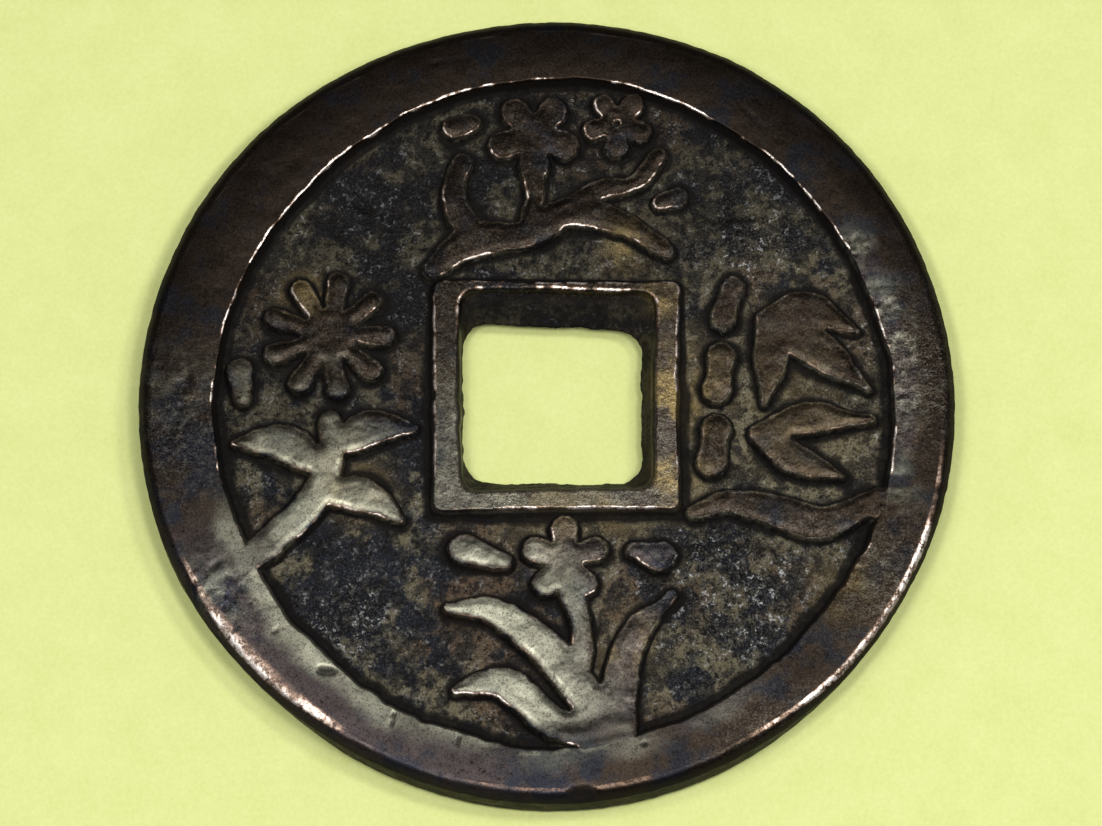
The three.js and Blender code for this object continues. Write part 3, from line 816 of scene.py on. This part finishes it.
class Nodes:
    """Makes the nodes of one tree. A value is a socket, a number or, as a tuple, a colour."""

    def __init__(self, tree):
        self.tree = tree

    def feed(self, socket, value):
        if isinstance(value, bpy.types.NodeSocket):
            self.tree.links.new(value, socket)
        elif isinstance(value, tuple):
            socket.default_value = (*value, 1)
        else:
            socket.default_value = value

    def mix(self, factor, a, b):
        """A colour or, where both ends are numbers or sockets of numbers, a number."""
        node = self.tree.nodes.new("ShaderNodeMix")
        colour = isinstance(a, tuple) or isinstance(b, tuple) or getattr(a, "type", "") == "RGBA"
        node.data_type = "RGBA" if colour else "FLOAT"
        first, second, out = MIX_SOCKETS[node.data_type]
        self.feed(node.inputs[0], factor)
        self.feed(node.inputs[first], a)
        self.feed(node.inputs[second], b)
        return node.outputs[out]

    def layers(self, value, *coats):
        """Mixes one coat after another over a colour or number, each by its own factor."""
        for factor, coat in coats:
            value = self.mix(factor, value, coat)
        return value

    def ramp(self, value, low, high, first=0.0, last=1.0):
        """Goes smoothly from first, where the value is low, to last, where it is high."""
        node = self.tree.nodes.new("ShaderNodeMapRange")
        node.interpolation_type = "SMOOTHSTEP"
        for socket, number in zip(node.inputs, (value, low, high, first, last)):
            self.feed(socket, number)
        return node.outputs[0]

    def maths(self, operation, a, b):
        node = self.tree.nodes.new("ShaderNodeMath")
        node.operation = operation
        self.feed(node.inputs[0], a)
        self.feed(node.inputs[1], b)
        return node.outputs[0]

    def add(self, a, b):
        return self.maths("ADD", a, b)

    def times(self, total, *values):
        for value in values:
            total = self.maths("MULTIPLY", total, value)
        return total

    def coordinates(self, kind):
        return self.tree.nodes.new("ShaderNodeTexCoord").outputs[kind]

    def noise(self, place, size, detail, rough, shift=0.0):
        """Noise with features about size mm wide."""
        node = self.tree.nodes.new("ShaderNodeTexNoise")
        node.noise_dimensions = "4D"
        keys = ("Vector", "W", "Scale", "Detail", "Roughness")
        for key, value in zip(keys, (place, shift, 1 / (size * MM), detail, rough)):
            self.feed(node.inputs[key], value)
        return node.outputs["Fac"]

    def attribute(self, name):
        node = self.tree.nodes.new("ShaderNodeAttribute")
        node.attribute_name = name
        return node.outputs["Fac"]


def new_material(name):
    """A material, a maker of its nodes and its shader."""
    material = bpy.data.materials.new(name)
    material.use_nodes = True
    return material, Nodes(material.node_tree), material.node_tree.nodes["Principled BSDF"]


def patina_noises(make):
    """The patina's noises, from broad patches down to dust."""
    place = make.coordinates("Object")
    return SimpleNamespace(
        broad=make.noise(place, 3.0, 3, 0.55, 1.0),
        patch=make.noise(place, 1.1, 5, 0.65, 2.0),
        clump=make.noise(place, 0.5, 3, 0.6, 7.0),
        speck=make.noise(place, 0.32, 5, 0.75, 4.0),
        grain=make.noise(place, 0.14, 4, 0.65, 3.0),
        fleck=make.noise(place, 0.085, 2, 0.5, 5.0),
        dust=make.noise(place, 0.05, 1, 0.5, 8.0),
    )


def ground_colour(make, mark, noise, bluish):
    """The dark, uneven patina of the fields, with painted glints where it is rough."""
    speckled = make.mix(mark.rough, 0.25, 1.0)
    # Painted glints where the ground is rough
    painted_glints = make.times(
        make.ramp(noise.fleck, 0.53, 0.60),
        make.ramp(noise.speck, 0.49, 0.56),
        make.ramp(noise.clump, 0.44, 0.56),
        make.ramp(mark.rough, 0.1, 0.8, 0.18, 1.0),
    )
    return make.layers(
        OLIVE,
        (make.ramp(noise.broad, 0.45, 0.62), EARTH),
        (make.ramp(bluish, 0.50, 0.60), BLUE_BLACK),
        (make.ramp(noise.clump, 0.52, 0.42, 0, 0.8), SOOT),
        (make.times(speckled, make.ramp(noise.speck, 0.50, 0.62, 0, 0.38)), SPECK),
        (make.ramp(noise.grain, 0.52, 0.38, 0, 0.85), DIRT_AND_SHADE),
        (make.times(speckled, make.ramp(noise.fleck, 0.54, 0.70, 0, 0.3)), SPECK),
        # painted shade, in the near-black of dirt
        (make.times(mark.shade, 0.6), DIRT_AND_SHADE),
        (painted_glints, GLINT_SILVER),
    )


def top_colour(make, mark, noise, bluish):
    """The smooth dark metal of the rims and sprigs, lighter where a painted sheen falls and pale where
    pitted.
    """
    grains = make.times(make.ramp(noise.speck, 0.44, 0.54), make.ramp(noise.fleck, 0.42, 0.52, 0.35, 1.0))
    grainy = make.mix(mark.rough, make.ramp(noise.speck, 0.34, 0.48, 0.6, 1.0), grains)
    return make.layers(
        RIM_PURPLE,
        # browner where the painted shade lies, at the top and the left
        (make.ramp(make.add(noise.broad, mark.shade), 0.7, 1.1), RIM_BROWN),
        (make.ramp(bluish, 0.5, 0.66, 0, 0.9), RIM_BLUE),
        (make.ramp(noise.grain, 0.44, 0.32, 0, 0.7), DIRT_AND_SHADE),
        (make.times(mark.rough, make.ramp(noise.speck, 0.5, 0.62, 0, 0.35)), SPECK),
        (make.times(mark.rough, make.ramp(noise.fleck, 0.40, 0.32, 0, 0.8)), DIRT_AND_SHADE),
        # painted sheen, and pale patina where pitted
        (make.times(mark.pale, grainy), PALE_METAL_AND_SHEEN),
        (make.ramp(noise.grain, 0.36, 0.28, 0, 0.5), DIRT_AND_SHADE),
    )


def bronze_colour(make, mark, noise, bright):
    """Ground and top by wear, then gold and painted shade, bright worn edges with painted highlights, dust,
    and dirt with painted shade.
    """
    bluish = make.add(noise.patch, make.times(mark.blue, 0.2))
    ground, top = (colour(make, mark, noise, bluish) for colour in (ground_colour, top_colour))
    rubbed_and_highlit = make.mix(make.ramp(bright, 0.1, 0.5), COPPER, BRIGHT_METAL_AND_HIGHLIGHT)
    dusty = make.mix(mark.wear, make.mix(mark.rough, 0.06, 0.3), make.mix(mark.rough, 0.03, 0.2))
    return make.layers(
        make.mix(mark.wear, ground, top),
        (make.times(mark.gold, make.ramp(noise.patch, 0.4, 0.56, 0.1, 0.9)), GOLD_METAL),
        # painted shade on the worn tops
        (make.times(mark.shade, mark.wear, 0.54), DIRT_AND_SHADE),
        # rubbed edges and painted highlights
        (make.ramp(bright, 0.0, 0.3), rubbed_and_highlit),
        (make.ramp(noise.dust, 0.5, 0.3, 0, 0.6), DIRT_AND_SHADE),
        (make.times(make.ramp(noise.dust, 0.52, 0.72), dusty), SPECK),
        (make.times(mark.dirt, 0.95), DIRT_AND_SHADE),
    )


def bronze_roughness(make, mark, noise):
    """The ground is uneven, the worn tops are smoother, and dirt and painted shade are dull."""
    ground = make.ramp(noise.speck, 0.3, 0.7, 0.48, 0.28)
    top = make.ramp(noise.patch, 0.35, 0.7, 0.30, 0.42)
    return make.layers(
        make.mix(mark.wear, ground, top),
        (make.ramp(mark.edge, 0.1, 0.5), 0.32),
        (mark.dirt, 0.75),
    )


def bronze_bump(make, mark, noise):
    """The finest grain, deeper on the ground and where the metal is rough."""
    relief = make.add(noise.grain, make.times(noise.speck, make.mix(mark.wear, 1.6, 0.7)))
    ground, top = make.ramp(mark.rough, 0.0, 1.0, 0.7, 1.0), make.ramp(mark.rough, 0.0, 1.0, 0.08, 0.42)
    depth = make.mix(mark.wear, ground, top)
    bump = make.tree.nodes.new("ShaderNodeBump")
    make.feed(bump.inputs["Distance"], 0.08 * MM)
    make.feed(bump.inputs["Strength"], make.times(depth, make.ramp(mark.edge, 0.1, 0.6, 1.0, 0.5)))
    make.feed(bump.inputs["Height"], make.add(relief, make.times(noise.fleck, 0.35)))
    return bump.outputs[0]


def bronze():
    material, make, shader = new_material("worn_bronze")
    mark = SimpleNamespace(**{name: make.attribute(name) for name in MARKS})
    noise = patina_noises(make)
    bright = make.times(
        mark.edge,
        make.ramp(noise.speck, 0.38, 0.50, 0.3, 1.0),
        make.ramp(noise.fleck, 0.40, 0.52, 0.6, 1.0),
    )
    metal = make.mix(mark.wear, make.ramp(noise.speck, 0.4, 0.7, 0.3, 0.8), 0.92)
    clean = make.maths("SUBTRACT", 1.0, mark.dirt)
    shader.inputs["Specular IOR Level"].default_value = 0.1
    make.feed(shader.inputs["Base Color"], bronze_colour(make, mark, noise, bright))
    make.feed(shader.inputs["Metallic"], make.times(metal, clean, make.ramp(bright, 0, 1, 1, 0.85)))
    make.feed(shader.inputs["Roughness"], bronze_roughness(make, mark, noise))
    make.feed(shader.inputs["Normal"], bronze_bump(make, mark, noise))
    return material


def paper():
    """Pale paper, blotched and fibrous."""
    material, make, shader = new_material("pale_paper")
    place = make.coordinates("Object")
    blotch, fibre = make.noise(place, 1.6, 3, 0.6), make.noise(place, 0.12, 3, 0.7, 1.0)
    tone = make.add(make.times(blotch, 0.4), make.times(fibre, 0.6))
    make.feed(shader.inputs["Base Color"], make.mix(tone, PAPER_DARK, PAPER_LIGHT))
    shader.inputs["Roughness"].default_value = 0.9
    return material


# The coin's pieces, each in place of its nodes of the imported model

BRONZE = bronze()


def dress(piece, slot, *replaced):
    """Gives a piece its material, and says what it rides on and which nodes it replaces."""
    piece.data.materials.append(BRONZE)
    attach(piece, BODY)
    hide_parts(*replaced)


dress(outer_rim(), "rim_bronze", "obverse_outer_rim", "reverse_outer_rim")
dress(inner_rim(), "rim_bronze", "obverse_inner_rim", "reverse_inner_rim")
dress(field(), "field_bronze", "flan")
for sprig_name in SPRIGS:
    dress(sprig(sprig_name), "relief_bronze", sprig_name)


# Floor, lights and camera, in metres

FLOOR_REACH = 0.6
FLOOR_DROP = 0.00002  # keeps the floor clear of the coin's lower face
SKY_COLOUR = (0.96, 0.98, 1.0)
HORIZON, ZENITH = 0.36, 0.09  # strength of the surroundings low down and overhead

# Each lamp's name, place, side of its square and power in watts
LAMPS = [
    ("left_lamp", (-0.059, 0.007, 0.169), 0.025, 0.024),
    ("right_lamp", (0.088, 0.010, 0.179), 0.030, 0.080),
    ("back_lamp", (0.0111, 0.0158, 0.1487), 0.015, 0.016),
    ("front_left_lamp", (-0.027, -0.03, 0.14), 0.025, 0.066),
    ("front_right_lamp", (0.030, -0.03, 0.14), 0.025, 0.066),
    ("sheen_lamp", (-0.006, 0.031, 0.13), 0.015, 0.006),
]

# The photograph's frame in pixels, and where the middle of the coin's upper face lies in it
FRAME_WIDTH, FRAME_HEIGHT = 1102, 826
COIN_PIXEL = (547.8, 402.5)
PIXELS_PER_MM = 34.17
ELEVATION = math.radians(73)
DISTANCE = 0.25
SENSOR = 36  # mm


def link(name, data, location, facing=None):
    """An object at a place, turned to look along a direction where one is given."""
    piece = bpy.data.objects.new(name, data)
    piece.location = location
    if facing:
        piece.rotation_euler = facing.to_track_quat("-Z", "Y").to_euler()
    bpy.context.scene.collection.objects.link(piece)
    return piece


def floor():
    size = FLOOR_REACH
    corners = [(-size, -size, 0), (size, -size, 0), (size, size, 0), (-size, size, 0)]
    mesh = bpy.data.meshes.new("floor")
    mesh.from_pydata(corners, [], [(0, 1, 2, 3)])
    mesh.materials.append(paper())
    link("floor", mesh, (0, 0, -FLOOR_DROP))


def light(name, place, side, power):
    """A soft square lamp that faces the coin."""
    lamp = bpy.data.lights.new(name, "AREA")
    lamp.size = side
    lamp.energy = power
    link(name, lamp, place, -Vector(place))


def world():
    """A pale room that is brighter low down than overhead."""
    surroundings = bpy.data.worlds.new("world")
    surroundings.use_nodes = True
    make = Nodes(surroundings.node_tree)
    background = surroundings.node_tree.nodes["Background"]
    make.feed(background.inputs["Color"], SKY_COLOUR)
    direction = surroundings.node_tree.nodes.new("ShaderNodeSeparateXYZ")
    make.feed(direction.inputs[0], make.coordinates("Generated"))
    make.feed(background.inputs["Strength"], make.ramp(direction.outputs["Z"], 0.0, 0.9, HORIZON, ZENITH))
    bpy.context.scene.world = surroundings
    bpy.context.scene.view_settings.view_transform = "Standard"


def camera():
    lens = bpy.data.cameras.new("camera")
    lens.sensor_width = SENSOR
    lens.lens = SENSOR * PIXELS_PER_MM * DISTANCE / MM / FRAME_WIDTH
    lens.shift_x = (FRAME_WIDTH / 2 - COIN_PIXEL[0]) / FRAME_WIDTH
    lens.shift_y = (COIN_PIXEL[1] - FRAME_HEIGHT / 2) / FRAME_WIDTH
    lens.clip_start, lens.clip_end = 0.01, 10
    back = Vector((0, -math.cos(ELEVATION), math.sin(ELEVATION)))
    bpy.context.scene.camera = link("camera", lens, Vector((0, 0, FACE * MM)) + back * DISTANCE, -back)


floor()
for lamp_settings in LAMPS:
    light(*lamp_settings)
world()
camera()
